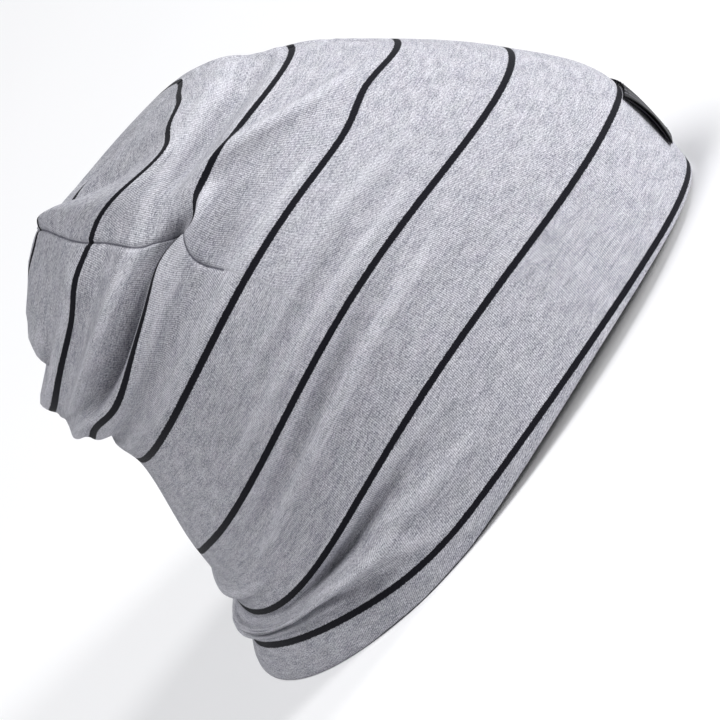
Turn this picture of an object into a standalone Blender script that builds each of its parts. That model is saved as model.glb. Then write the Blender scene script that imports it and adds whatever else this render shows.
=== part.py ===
"""Slouchy striped knit hat, worn shape, standing on its rim.

Metres, +Z up through the crown, the wearer's face toward -Y, the wearer's right at -X.
The jersey is one open surface of closed rings, lofted through the SECTIONS table, then
pushed along its own normals by the FOLDS table, and given its wall with Solidify.
"""

import bmesh
import bpy
import numpy as np
from mathutils import Vector

HAT_LENGTH = 0.200
HAT_WIDTH = 0.152
HAT_HEIGHT = 0.141
CLOTH_PITCH = 0.034
JERSEY_WALL = 0.0022
RIM_ROUNDING = 0.0010
SEAM_DEPTH = 0.0008
LABEL_WIDTH = 0.024
LABEL_HEIGHT = 0.0203
LABEL_THICKNESS = 0.0011
LABEL_PUFF = 0.0008
LABEL_GAP = 0.0003

COLUMNS_ROUND = 60
LABEL_COLUMNS = 10
LABEL_ROWS = 8
DARTS = 4
DART_START = 3.15
HEM_AT = -0.2
HEM_TURN = 0.04
TEMPLE_ENDS_AT = 125
LABEL_BOTTOM_AT = 0.365

# level is counted in cloth pitches above the first stripe.
# front, back: reach of the ring, shares of HAT_LENGTH. half, side: half width and sideways
# shift of the ring, shares of HAT_WIDTH. egg: how much narrower the front half is.
# z_*: height of the ring at four places round, shares of HAT_HEIGHT. temple: how much more
# the ring climbs between the front and the side, shares of HAT_HEIGHT.
SECTION_COLUMNS = (
    "name", "level", "front", "back", "half", "egg", "side",
    "z_front", "z_right", "z_left", "z_back", "temple",
)
SECTIONS = (
    ("rim", -0.20, 0.498, -0.508, 0.500, 0.18, 0.00, 0.000, 0.000, 0.000, 0.000, 0.033),
    ("first_stripe", 0.00, 0.502, -0.474, 0.496, 0.18, 0.00, 0.018, 0.053, 0.053, 0.088, 0.028),
    ("second_stripe", 1.00, 0.521, -0.448, 0.472, 0.18, 0.00, 0.252, 0.297, 0.283, 0.135, -0.003),
    ("third_stripe", 2.00, 0.459, -0.418, 0.434, 0.21, 0.00, 0.473, 0.525, 0.504, 0.315, 0.001),
    ("fourth_stripe", 3.00, 0.364, -0.371, 0.376, 0.27, 0.00, 0.676, 0.725, 0.685, 0.533, -0.002),
    ("fifth_stripe", 4.00, 0.257, -0.389, 0.310, 0.28, 0.00, 0.849, 0.870, 0.798, 0.636, 0.000),
    ("sixth_stripe", 5.00, 0.108, -0.392, 0.226, 0.05, 0.04, 0.972, 0.962, 0.875, 0.724, 0.000),
    ("seventh_stripe", 6.00, -0.117, -0.265, 0.092, 0.00, 0.09, 0.978, 1.010, 0.955, 0.938, 0.000),
    ("crown_tip", 6.50, -0.199, -0.208, 0.007, 0.00, 0.09, 0.986, 0.986, 0.986, 0.986, 0.000),
)

# round: degrees from the front through the wearer's right. level: cloth pitches.
# reach, breadth: half size of the fold round the hat in degrees, and up it in pitches.
# slope: how many pitches the fold climbs for each turn of 100 degrees toward the nape.
# out, rise, shift: push along the outward normal, up the cloth and round it, shares of CLOTH_PITCH.
FOLD_COLUMNS = ("name", "round", "level", "reach", "breadth", "slope", "out", "rise", "shift")
FOLDS = (
    ("slump_valley_right", 120, 4.25, 27, 0.17, 0.40, -0.22, 0.00, 0.00),
    ("slump_bulge_right", 124, 4.60, 27, 0.14, 0.45, 0.22, -0.20, 0.00),
    ("slump_sag_right", 140, 4.00, 24, 0.24, 0.00, 0.00, -0.08, 0.00),
    ("seam_pull", 94, 4.02, 22, 0.28, 0.00, 0.00, 0.00, -0.27),
    ("seam_pinch", 92, 4.10, 10, 0.13, 0.00, -0.19, 0.00, 0.00),
    ("seam_knob", 80, 3.88, 10, 0.13, 0.00, 0.11, 0.02, 0.00),
    ("fifth_stripe_kink", 100, 4.00, 8, 0.15, 0.00, 0.00, 0.05, 0.00),
    ("fifth_stripe_end", 154, 4.00, 14, 0.20, 0.00, 0.00, 0.09, 0.00),
    ("front_crest", 44, 4.03, 20, 0.16, 0.00, 0.07, -0.02, 0.00),
    ("front_valley", 42, 4.30, 40, 0.17, 0.00, -0.15, 0.00, 0.00),
    ("slump_valley_left", 240, 4.35, 42, 0.21, -0.20, -0.14, 0.00, 0.00),
    ("slump_bulge_left", 236, 4.70, 40, 0.22, -0.20, 0.10, -0.04, 0.00),
    ("back_tuck", 180, 3.60, 40, 0.20, 0.00, -0.10, 0.00, 0.00),
    ("back_roll", 174, 5.14, 34, 0.13, 0.00, 0.09, 0.00, 0.00),
    ("slump_tip", 170, 4.40, 28, 0.22, 0.00, 0.10, -0.03, 0.00),
    ("crown_notch", 174, 5.30, 36, 0.13, 0.00, -0.17, 0.00, 0.00),
    ("crown_cap", 160, 5.62, 44, 0.26, 0.00, 0.03, 0.00, 0.00),
    ("crown_lift", 140, 5.02, 26, 0.30, 0.00, 0.08, 0.00, 0.00),
    ("crown_ridge", 103, 5.04, 14, 0.36, 0.00, 0.11, 0.00, 0.00),
    ("panel_crest", 74, 5.55, 11, 0.90, 0.00, 0.10, 0.00, 0.00),
    ("panel_valley", 47, 5.55, 15, 0.62, 0.00, -0.14, 0.00, 0.00),
    ("sixth_stripe_dip", 55, 5.00, 16, 0.40, 0.00, 0.00, -0.17, 0.00),
    ("sixth_stripe_lift", 82, 5.00, 9, 0.40, 0.00, 0.00, 0.06, 0.00),
    ("seventh_stripe_end", 36, 6.00, 16, 0.30, 0.00, 0.00, 0.10, 0.00),
    ("fourth_stripe_lift", 24, 3.00, 15, 0.50, 0.00, 0.00, 0.13, 0.00),
    ("knob_dip", 83, 4.00, 10, 0.20, 0.00, 0.00, -0.10, 0.00),
    ("low_ridge", 105, 1.55, 32, 0.10, -0.20, 0.08, 0.00, 0.00),
    ("low_crease", 107, 1.77, 32, 0.11, -0.20, -0.09, 0.00, 0.00),
    ("upper_ridge", 46, 3.78, 22, 0.16, 2.00, 0.12, 0.00, 0.00),
    ("upper_valley", 80, 3.52, 27, 0.24, 0.00, -0.14, 0.00, 0.00),
    ("upper_valley_back", 112, 3.50, 28, 0.22, 0.00, -0.10, 0.00, 0.00),
    ("side_roll", 126, 0.48, 30, 0.13, 0.20, 0.13, -0.04, 0.00),
    ("side_crease", 121, 0.77, 29, 0.13, 0.15, -0.18, 0.00, 0.00),
    ("hem_sag", 112, 0.00, 22, 0.35, 0.00, 0.03, -0.06, 0.00),
    ("lower_side_sag", 138, 1.00, 28, 0.45, 0.00, 0.00, -0.06, 0.00),
    ("first_stripe_end", 192, 0.00, 27, 0.15, 0.00, -0.07, -0.10, 0.00),
    ("nape_roll_low", 182, 0.21, 26, 0.12, 0.00, 0.07, -0.08, 0.00),
    ("nape_crease_low", 182, 0.38, 30, 0.11, 0.00, -0.10, 0.00, 0.00),
    ("nape_roll_middle", 166, 0.60, 27, 0.14, 0.00, 0.07, -0.05, 0.00),
    ("nape_roll_tip", 175, 0.58, 11, 0.12, 0.00, 0.06, -0.01, 0.00),
    ("second_stripe_end", 210, 1.03, 34, 0.38, 0.00, 0.00, 0.16, 0.00),
    ("third_stripe_end", 178, 2.00, 14, 0.25, 0.00, 0.00, -0.09, 0.00),
    ("nape_roll_high", 180, 1.36, 27, 0.10, 0.00, 0.07, -0.02, 0.00),
)

# The rows of quads between two levels, more where the cloth is folded.
ROW_BANDS = (
    (-0.20, -0.16, 1),
    (-0.16, 0.10, 2),
    (0.10, 1.20, 12),
    (1.20, 2.00, 5),
    (2.00, 3.40, 5),
    (3.40, 3.90, 3),
    (3.90, 4.90, 11),
    (4.90, 5.90, 6),
    (5.90, 6.46, 2),
)


def table_column(table, columns, name):
    place = columns.index(name)
    return np.array([row[place] for row in table], float)


def section_value(level, name):
    """The value of one column of SECTIONS at any level, smooth and without overshoot."""
    at = table_column(SECTIONS, SECTION_COLUMNS, "level")
    value = table_column(SECTIONS, SECTION_COLUMNS, name)
    step = np.diff(at)
    rise = np.diff(value) / step
    slope = np.concatenate([rise[:1], (rise[:-1] * step[1:] + rise[1:] * step[:-1]) / (step[:-1] + step[1:]), rise[-1:]])
    most = 2.2 * np.minimum(abs(rise[:-1]), abs(rise[1:]))
    turning = rise[:-1] * rise[1:] <= 0
    slope[1:-1] = np.where(turning, 0, np.clip(slope[1:-1], -most, most))
    i = np.clip(np.searchsorted(at, level, side="right") - 1, 0, len(step) - 1)
    t = (level - at[i]) / step[i]
    return (
        (2 * t**3 - 3 * t**2 + 1) * value[i]
        + (t**3 - 2 * t**2 + t) * step[i] * slope[i]
        + (3 * t**2 - 2 * t**3) * value[i + 1]
        + (t**3 - t**2) * step[i] * slope[i + 1]
    )


def half_turn(turn):
    """The angle from the front, the same on the left as on the right."""
    return np.where(turn <= np.pi, turn, 2 * np.pi - turn)


def smooth_rings(levels, turn):
    """The rings before folding: points by level and by angle round, evenly spaced along each ring."""
    column = lambda name: section_value(levels, name)[:, None]
    front = column("front") * HAT_LENGTH
    back = column("back") * HAT_LENGTH
    half = column("half") * HAT_WIDTH
    angle = np.linspace(0, np.pi, 361)[None]
    along = (front + back) / 2 + (front - back) / 2 * np.cos(angle)
    across = half * np.sin(angle) * (1 - column("egg") * np.cos(angle))
    steps = np.hypot(np.diff(along, axis=1), np.diff(across, axis=1))
    run = np.concatenate([np.zeros((len(levels), 1)), np.cumsum(steps, axis=1)], axis=1)
    share = half_turn(turn) / np.pi
    forward = np.array([np.interp(share * r[-1], r, a) for r, a in zip(run, along)])
    outward = np.array([np.interp(share * r[-1], r, a) for r, a in zip(run, across)])
    x = column("side") * HAT_WIDTH + np.where(turn <= np.pi, -outward, outward)
    z_front, z_back, z_right, z_left = (column(n) for n in ("z_front", "z_back", "z_right", "z_left"))
    z = HAT_HEIGHT * (
        (z_front + z_back + z_right + z_left) / 4
        + (z_front - z_back) / 2 * np.cos(turn)
        + (z_front + z_back - z_right - z_left) / 4 * np.cos(2 * turn)
        + (z_right - z_left) / 2 * np.sin(turn)
    )
    past_front = np.clip(half_turn(turn) / np.radians(TEMPLE_ENDS_AT), 0, 1)
    z = z + HAT_HEIGHT * column("temple") * np.sin(np.pi * past_front**0.85) ** 2
    return np.stack([x, -forward, z], axis=2)


def outward_normals(points):
    """Unit normals of a ring grid, facing out, and unit directions up the cloth and round it."""
    upward = np.gradient(points, axis=0)
    onward = (np.roll(points, -1, axis=1) - np.roll(points, 1, axis=1)) / 2
    normal = np.cross(upward, onward)
    normal /= np.linalg.norm(normal, axis=2, keepdims=True) + 1e-12
    upward = upward / (np.linalg.norm(upward, axis=2, keepdims=True) + 1e-12)
    outside = points - points.mean(axis=1, keepdims=True)
    onward = onward / (np.linalg.norm(onward, axis=2, keepdims=True) + 1e-12)
    return normal * np.sign((outside * normal).sum()), upward, onward


def folded_rings(levels, turn):
    """The rings with every fold of the FOLDS table and the dart seams."""
    points = smooth_rings(levels, turn)
    normal, upward, onward = outward_normals(points)
    degrees = np.degrees(turn)[None]
    level = levels[:, None]
    pushed = points.copy()
    for name, centre, at, reach, breadth, slope, out, rise, shift in FOLDS:
        away = (degrees - centre + 180) % 360 - 180
        middle = at + slope * away / 100
        strength = np.exp(-1.2 * (away / reach) ** 2 - 1.2 * ((level - middle) / breadth) ** 2)
        push = out * normal + rise * upward + shift * onward
        pushed += strength[..., None] * CLOTH_PITCH * push
    nearest = np.abs((degrees + 180 / DARTS) % (360 / DARTS) - 180 / DARTS)
    dart = np.clip((level - DART_START) / 0.5, 0, 1) * np.exp(-((nearest / 1.6) ** 2))
    pushed -= SEAM_DEPTH * dart[..., None] * normal
    # The turned edge of the hem rounds in under the cloth.
    under = np.clip((HEM_AT + HEM_TURN - level) / HEM_TURN, 0, 1)
    pushed -= RIM_ROUNDING * under[..., None] * normal * np.array([1.0, 1.0, 0.0])
    pushed[..., 2] = np.maximum(pushed[..., 2], 0)
    return pushed


# Blender objects

def clear_scene():
    for thing in list(bpy.data.objects):
        bpy.data.objects.remove(thing)


def collection(name):
    made = bpy.data.collections.new(name)
    bpy.context.scene.collection.children.link(made)
    return made


def plain_material(name, colour, roughness):
    material = bpy.data.materials.new(name)
    material.use_nodes = True
    shader = next(node for node in material.node_tree.nodes if node.type == "BSDF_PRINCIPLED")
    shader.inputs["Base Color"].default_value = (*colour, 1)
    shader.inputs["Roughness"].default_value = roughness
    return material


def object_from(bm, name, material, into):
    bmesh.ops.recalc_face_normals(bm, faces=bm.faces)
    for face in bm.faces:
        face.smooth = True
    mesh = bpy.data.meshes.new(name)
    bm.to_mesh(mesh)
    bm.free()
    mesh.materials.append(material)
    thing = bpy.data.objects.new(name, mesh)
    into.objects.link(thing)
    return thing


def row_levels():
    levels = [np.linspace(low, high, rows, endpoint=False) for low, high, rows in ROW_BANDS]
    return np.append(np.concatenate(levels), ROW_BANDS[-1][1])


def jersey_surface(bm):
    """The outer face of the jersey: rings of quads closed by a fan at the crown tip."""
    levels = row_levels()
    turn = 2 * np.pi * np.arange(COLUMNS_ROUND) / COLUMNS_ROUND
    grid = [[bm.verts.new(point) for point in ring] for ring in folded_rings(levels, turn)]
    for low, high in zip(grid, grid[1:]):
        for i in range(COLUMNS_ROUND):
            j = (i + 1) % COLUMNS_ROUND
            bm.faces.new((low[i], low[j], high[j], high[i]))
    top = sum((vert.co for vert in grid[-1]), Vector()) / COLUMNS_ROUND
    tip = bm.verts.new(top)
    for i in range(COLUMNS_ROUND):
        bm.faces.new((grid[-1][i], grid[-1][(i + 1) % COLUMNS_ROUND], tip))


def apply_modifier(thing, name):
    bpy.context.view_layer.objects.active = thing
    with bpy.context.temp_override(object=thing, active_object=thing, selected_objects=[thing]):
        bpy.ops.object.modifier_apply(modifier=name)


def jersey_shell(into):
    bm = bmesh.new()
    jersey_surface(bm)
    grey = plain_material("heather_grey_jersey", (0.50, 0.50, 0.55), 0.9)
    shell = object_from(bm, "jersey_shell", grey, into)
    wall = shell.modifiers.new("Wall", "SOLIDIFY")
    wall.thickness = JERSEY_WALL
    wall.offset = -1
    apply_modifier(shell, "Wall")
    # The rim is flat where it rests.
    for vert in shell.data.vertices:
        vert.co.z = max(vert.co.z, 0)
    return shell


def label_grid():
    """Points of the label's place on the jersey, by row and column, with outward normals."""
    levels = np.linspace(LABEL_BOTTOM_AT, LABEL_BOTTOM_AT + LABEL_HEIGHT / CLOTH_PITCH, LABEL_ROWS + 1)
    count = 720
    turn = 2 * np.pi * np.arange(count) / count
    rings = folded_rings(levels, turn)
    normals, upward, onward = outward_normals(rings)
    points, facing = [], []
    for ring, normal in zip(rings, normals):
        right = np.concatenate([ring[::-1][: count // 4][::-1], ring[: count // 4]])
        out = np.concatenate([normal[::-1][: count // 4][::-1], normal[: count // 4]])
        run = np.concatenate([[0], np.cumsum(np.linalg.norm(np.diff(right, axis=0), axis=1))])
        run -= run[count // 4]
        stops = np.linspace(-LABEL_WIDTH / 2, LABEL_WIDTH / 2, LABEL_COLUMNS + 1)
        points.append(np.stack([np.interp(stops, run, right[:, k]) for k in range(3)], axis=1))
        facing.append(np.stack([np.interp(stops, run, out[:, k]) for k in range(3)], axis=1))
    return np.array(points), np.array(facing)


def front_label(into):
    points, facing = label_grid()
    rows, columns = points.shape[:2]
    up = np.sin(np.linspace(0, np.pi, rows))[:, None]
    across = np.sin(np.linspace(0, np.pi, columns))[None]
    puff = LABEL_PUFF * np.sqrt(up * across)
    bm = bmesh.new()
    layers = []
    for lift in (LABEL_GAP + 0 * puff, LABEL_GAP + LABEL_THICKNESS + puff):
        moved = points + facing * lift[..., None]
        layers.append([[bm.verts.new(point) for point in row] for row in moved])
    for layer in layers:
        for low, high in zip(layer, layer[1:]):
            for i in range(columns - 1):
                bm.faces.new((low[i], low[i + 1], high[i + 1], high[i]))
    edge = [(0, i) for i in range(columns)] + [(r, columns - 1) for r in range(1, rows)]
    edge += [(rows - 1, i) for i in range(columns - 2, -1, -1)] + [(r, 0) for r in range(rows - 2, 0, -1)]
    for (r, c), (s, d) in zip(edge, edge[1:] + edge[:1]):
        bm.faces.new((layers[0][r][c], layers[0][s][d], layers[1][s][d], layers[1][r][c]))
    black = plain_material("black_woven_label", (0.02, 0.02, 0.022), 0.8)
    return object_from(bm, "front_label", black, into)


def centre_on_origin(things):
    """The row's origin is the middle of the whole box's underside."""
    corners = np.array([vert.co for thing in things for vert in thing.data.vertices])
    low, high = corners.min(axis=0), corners.max(axis=0)
    shift = Vector(((low[0] + high[0]) / -2, (low[1] + high[1]) / -2, -low[2]))
    for thing in things:
        for vert in thing.data.vertices:
            vert.co += shift
    print("moved by", [round(value * 1000, 3) for value in shift], "mm")


clear_scene()
knit_toque = collection("knit_toque")
centre_on_origin([jersey_shell(knit_toque), front_label(knit_toque)])
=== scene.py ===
# %% [markdown]
# # A slouchy striped jersey hat
#
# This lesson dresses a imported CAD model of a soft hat. The hat is one bag of thin cotton jersey, worn
# double, so its lower edge is a fold with no stitching. Four darts close the crown, and a small black
# label is sewn on at the front. The CAD model holds the true shape with few faces. Here the same shape
# is made again with many more faces, finer folds, a knit that follows the cloth, and soft light.

import bpy
import numpy as np
from mathutils import Matrix, Vector


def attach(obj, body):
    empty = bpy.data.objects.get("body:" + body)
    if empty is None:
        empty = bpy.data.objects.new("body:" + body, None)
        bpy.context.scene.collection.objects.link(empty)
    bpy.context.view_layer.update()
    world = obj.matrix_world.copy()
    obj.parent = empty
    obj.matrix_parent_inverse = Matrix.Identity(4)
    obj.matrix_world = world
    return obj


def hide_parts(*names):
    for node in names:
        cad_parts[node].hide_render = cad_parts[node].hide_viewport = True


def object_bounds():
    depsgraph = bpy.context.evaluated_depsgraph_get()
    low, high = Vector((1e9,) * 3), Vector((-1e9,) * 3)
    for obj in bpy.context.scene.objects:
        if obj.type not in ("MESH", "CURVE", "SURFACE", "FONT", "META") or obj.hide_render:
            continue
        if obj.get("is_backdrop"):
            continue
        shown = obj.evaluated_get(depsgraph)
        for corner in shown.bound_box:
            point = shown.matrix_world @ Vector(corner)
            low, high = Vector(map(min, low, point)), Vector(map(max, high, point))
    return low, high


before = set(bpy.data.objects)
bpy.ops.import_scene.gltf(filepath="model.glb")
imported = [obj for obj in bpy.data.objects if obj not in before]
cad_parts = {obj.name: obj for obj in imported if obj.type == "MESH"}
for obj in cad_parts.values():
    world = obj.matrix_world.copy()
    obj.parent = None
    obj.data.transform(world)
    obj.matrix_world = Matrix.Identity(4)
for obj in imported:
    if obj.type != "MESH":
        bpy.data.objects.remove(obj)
cad_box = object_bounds()
bpy.ops.object.select_all(action="DESELECT")

# %% [markdown]
# ## Named sizes
#
# Everything is in metres. The hat stands on its rim, the face side is -Y and the wearer's right is -X.
# One table gives the rings, a row for each stripe, and one table gives the folds. Lengths in the tables
# are shares of the named sizes, so that the hat can be made larger or flatter in one place.

# %% Sizes and the two tables of the shape
HAT_LENGTH = 0.200
HAT_WIDTH = 0.152
HAT_HEIGHT = 0.141
CLOTH_PITCH = 0.034
JERSEY_WALL = 0.0022
RIM_ROUNDING = 0.0010
SEAM_DEPTH = 0.0008
DARTS = 4
DART_START = 3.15
HEM_AT = -0.2
HEM_TURN = 0.04
TEMPLE_ENDS_AT = 125
CENTRE_SHIFT = (0.00028, 0.00268, 0.0)

SECTION_COLUMNS = (
    "name", "level", "front", "back", "half", "egg", "side",
    "z_front", "z_right", "z_left", "z_back", "temple",
)
SECTIONS = (
    ("rim", -0.20, 0.498, -0.508, 0.500, 0.18, 0.00, 0.000, 0.000, 0.000, 0.000, 0.033),
    ("first_stripe", 0.00, 0.502, -0.474, 0.496, 0.18, 0.00, 0.018, 0.053, 0.053, 0.088, 0.028),
    ("second_stripe", 1.00, 0.521, -0.448, 0.472, 0.18, 0.00, 0.252, 0.297, 0.283, 0.135, -0.003),
    ("third_stripe", 2.00, 0.459, -0.418, 0.434, 0.21, 0.00, 0.473, 0.525, 0.504, 0.315, 0.001),
    ("fourth_stripe", 3.00, 0.364, -0.371, 0.376, 0.27, 0.00, 0.676, 0.725, 0.685, 0.533, -0.002),
    ("fifth_stripe", 4.00, 0.257, -0.389, 0.310, 0.28, 0.00, 0.849, 0.870, 0.798, 0.636, 0.000),
    ("sixth_stripe", 5.00, 0.108, -0.392, 0.226, 0.05, 0.04, 0.972, 0.962, 0.875, 0.724, 0.000),
    ("seventh_stripe", 6.00, -0.117, -0.265, 0.092, 0.00, 0.09, 0.978, 1.010, 0.955, 0.938, 0.000),
    ("crown_tip", 6.50, -0.199, -0.208, 0.007, 0.00, 0.09, 0.986, 0.986, 0.986, 0.986, 0.000),
)

FOLD_COLUMNS = ("name", "round", "level", "reach", "breadth", "slope", "out", "rise", "shift")
FOLDS = (
    ("slump_valley_right", 120, 4.25, 27, 0.17, 0.40, -0.22, 0.00, 0.00),
    ("slump_bulge_right", 124, 4.60, 27, 0.14, 0.45, 0.22, -0.20, 0.00),
    ("slump_sag_right", 140, 4.00, 24, 0.24, 0.00, 0.00, -0.08, 0.00),
    ("seam_pull", 94, 4.02, 22, 0.28, 0.00, 0.00, 0.00, -0.27),
    ("seam_pinch", 92, 4.10, 10, 0.13, 0.00, -0.19, 0.00, 0.00),
    ("seam_knob", 80, 3.88, 10, 0.13, 0.00, 0.11, 0.02, 0.00),
    ("fifth_stripe_kink", 100, 4.00, 8, 0.15, 0.00, 0.00, 0.05, 0.00),
    ("fifth_stripe_end", 154, 4.00, 14, 0.20, 0.00, 0.00, 0.09, 0.00),
    ("front_crest", 44, 4.03, 20, 0.16, 0.00, 0.07, -0.02, 0.00),
    ("front_valley", 42, 4.30, 40, 0.17, 0.00, -0.15, 0.00, 0.00),
    ("slump_valley_left", 240, 4.35, 42, 0.21, -0.20, -0.14, 0.00, 0.00),
    ("slump_bulge_left", 236, 4.70, 40, 0.22, -0.20, 0.10, -0.04, 0.00),
    ("back_tuck", 180, 3.60, 40, 0.20, 0.00, -0.10, 0.00, 0.00),
    ("back_roll", 174, 5.14, 34, 0.13, 0.00, 0.09, 0.00, 0.00),
    ("slump_tip", 170, 4.40, 28, 0.22, 0.00, 0.10, -0.03, 0.00),
    ("crown_notch", 174, 5.30, 36, 0.13, 0.00, -0.17, 0.00, 0.00),
    ("crown_cap", 160, 5.62, 44, 0.26, 0.00, 0.03, 0.00, 0.00),
    ("crown_lift", 140, 5.02, 26, 0.30, 0.00, 0.08, 0.00, 0.00),
    ("crown_ridge", 103, 5.04, 14, 0.36, 0.00, 0.11, 0.00, 0.00),
    ("panel_crest", 74, 5.55, 11, 0.90, 0.00, 0.10, 0.00, 0.00),
    ("panel_valley", 47, 5.55, 15, 0.62, 0.00, -0.14, 0.00, 0.00),
    ("sixth_stripe_dip", 55, 5.00, 16, 0.40, 0.00, 0.00, -0.17, 0.00),
    ("sixth_stripe_lift", 82, 5.00, 9, 0.40, 0.00, 0.00, 0.06, 0.00),
    ("seventh_stripe_end", 36, 6.00, 16, 0.30, 0.00, 0.00, 0.10, 0.00),
    ("fourth_stripe_lift", 24, 3.00, 15, 0.50, 0.00, 0.00, 0.13, 0.00),
    ("knob_dip", 83, 4.00, 10, 0.20, 0.00, 0.00, -0.10, 0.00),
    ("low_ridge", 105, 1.55, 32, 0.10, -0.20, 0.08, 0.00, 0.00),
    ("low_crease", 107, 1.77, 32, 0.11, -0.20, -0.09, 0.00, 0.00),
    ("upper_ridge", 46, 3.78, 22, 0.16, 2.00, 0.12, 0.00, 0.00),
    ("upper_valley", 80, 3.52, 27, 0.24, 0.00, -0.14, 0.00, 0.00),
    ("upper_valley_back", 112, 3.50, 28, 0.22, 0.00, -0.10, 0.00, 0.00),
    ("side_roll", 126, 0.48, 30, 0.13, 0.20, 0.13, -0.04, 0.00),
    ("side_crease", 121, 0.77, 29, 0.13, 0.15, -0.18, 0.00, 0.00),
    ("hem_sag", 112, 0.00, 22, 0.35, 0.00, 0.03, -0.06, 0.00),
    ("lower_side_sag", 138, 1.00, 28, 0.45, 0.00, 0.00, -0.06, 0.00),
    ("first_stripe_end", 192, 0.00, 27, 0.15, 0.00, -0.07, -0.10, 0.00),
    ("nape_roll_low", 182, 0.21, 26, 0.12, 0.00, 0.07, -0.08, 0.00),
    ("nape_crease_low", 182, 0.38, 30, 0.11, 0.00, -0.10, 0.00, 0.00),
    ("nape_roll_middle", 166, 0.60, 27, 0.14, 0.00, 0.07, -0.05, 0.00),
    ("nape_roll_tip", 175, 0.58, 11, 0.12, 0.00, 0.06, -0.01, 0.00),
    ("second_stripe_end", 210, 1.03, 34, 0.38, 0.00, 0.00, 0.16, 0.00),
    ("third_stripe_end", 178, 2.00, 14, 0.25, 0.00, 0.00, -0.09, 0.00),
    ("nape_roll_high", 180, 1.36, 27, 0.10, 0.00, 0.07, -0.02, 0.00),
)
print(len(SECTIONS), "rings and", len(FOLDS), "folds")

# %% [markdown]
# ## The rings of the bag
#
# A hat is close to a stack of rings, so each column of the ring table is read at any height by a cubic
# that never overshoots. Each ring is egg shaped, narrower at the brow, and its points are spaced evenly
# along it, as the stitches of a knit tube are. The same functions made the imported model, so the finer
# cloth lands on it without any fitting.

# %% Read the ring table at any height
def table_column(table, columns, name):
    place = columns.index(name)
    return np.array([row[place] for row in table], float)


def section_value(level, name):
    """One column of SECTIONS at any level, smooth and without overshoot."""
    at = table_column(SECTIONS, SECTION_COLUMNS, "level")
    value = table_column(SECTIONS, SECTION_COLUMNS, name)
    step = np.diff(at)
    rise = np.diff(value) / step
    inner = (rise[:-1] * step[1:] + rise[1:] * step[:-1]) / (step[:-1] + step[1:])
    slope = np.concatenate([rise[:1], inner, rise[-1:]])
    most = 2.2 * np.minimum(abs(rise[:-1]), abs(rise[1:]))
    turning = rise[:-1] * rise[1:] <= 0
    slope[1:-1] = np.where(turning, 0, np.clip(slope[1:-1], -most, most))
    i = np.clip(np.searchsorted(at, level, side="right") - 1, 0, len(step) - 1)
    t = (level - at[i]) / step[i]
    return (
        (2 * t**3 - 3 * t**2 + 1) * value[i]
        + (t**3 - 2 * t**2 + t) * step[i] * slope[i]
        + (3 * t**2 - 2 * t**3) * value[i + 1]
        + (t**3 - t**2) * step[i] * slope[i + 1]
    )


def half_turn(turn):
    """The angle from the front, the same on the left as on the right."""
    turn = turn % (2 * np.pi)
    return np.where(turn <= np.pi, turn, 2 * np.pi - turn)


def smooth_rings(levels, turn):
    """The rings before folding, by level and by angle round the hat."""
    column = {name: section_value(levels, name)[:, None] for name in SECTION_COLUMNS[2:]}
    front = column["front"] * HAT_LENGTH
    back = column["back"] * HAT_LENGTH
    half = column["half"] * HAT_WIDTH
    angle = np.linspace(0, np.pi, 361)[None]
    along = (front + back) / 2 + (front - back) / 2 * np.cos(angle)
    across = half * np.sin(angle) * (1 - column["egg"] * np.cos(angle))
    steps = np.hypot(np.diff(along, axis=1), np.diff(across, axis=1))
    run = np.concatenate([np.zeros((len(levels), 1)), np.cumsum(steps, axis=1)], axis=1)
    share = half_turn(turn) / np.pi
    forward = np.array([np.interp(share * r[-1], r, a) for r, a in zip(run, along)])
    outward = np.array([np.interp(share * r[-1], r, a) for r, a in zip(run, across)])
    on_right = (turn % (2 * np.pi)) <= np.pi
    x = column["side"] * HAT_WIDTH + np.where(on_right, -outward, outward)
    z_front, z_back, z_right, z_left = (column[f"z_{side}"] for side in ("front", "back", "right", "left"))
    z = HAT_HEIGHT * (
        (z_front + z_back + z_right + z_left) / 4
        + (z_front - z_back) / 2 * np.cos(turn)
        + (z_front + z_back - z_right - z_left) / 4 * np.cos(2 * turn)
        + (z_right - z_left) / 2 * np.sin(turn)
    )
    past_front = np.clip(half_turn(turn) / np.radians(TEMPLE_ENDS_AT), 0, 1)
    z = z + HAT_HEIGHT * column["temple"] * np.sin(np.pi * past_front**0.85) ** 2
    return np.stack([x, -forward, z], axis=2)


around = np.radians(np.arange(0, 360, 1.0))
for level in (0, 1, 2, 3, 4, 5, 6):
    ring = smooth_rings(np.array([float(level)]), around)[0]
    length = np.linalg.norm(ring - np.roll(ring, 1, axis=0), axis=1).sum()
    print("ring at stripe", level + 1, "is", round(length * 1000), "mm round")
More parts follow.
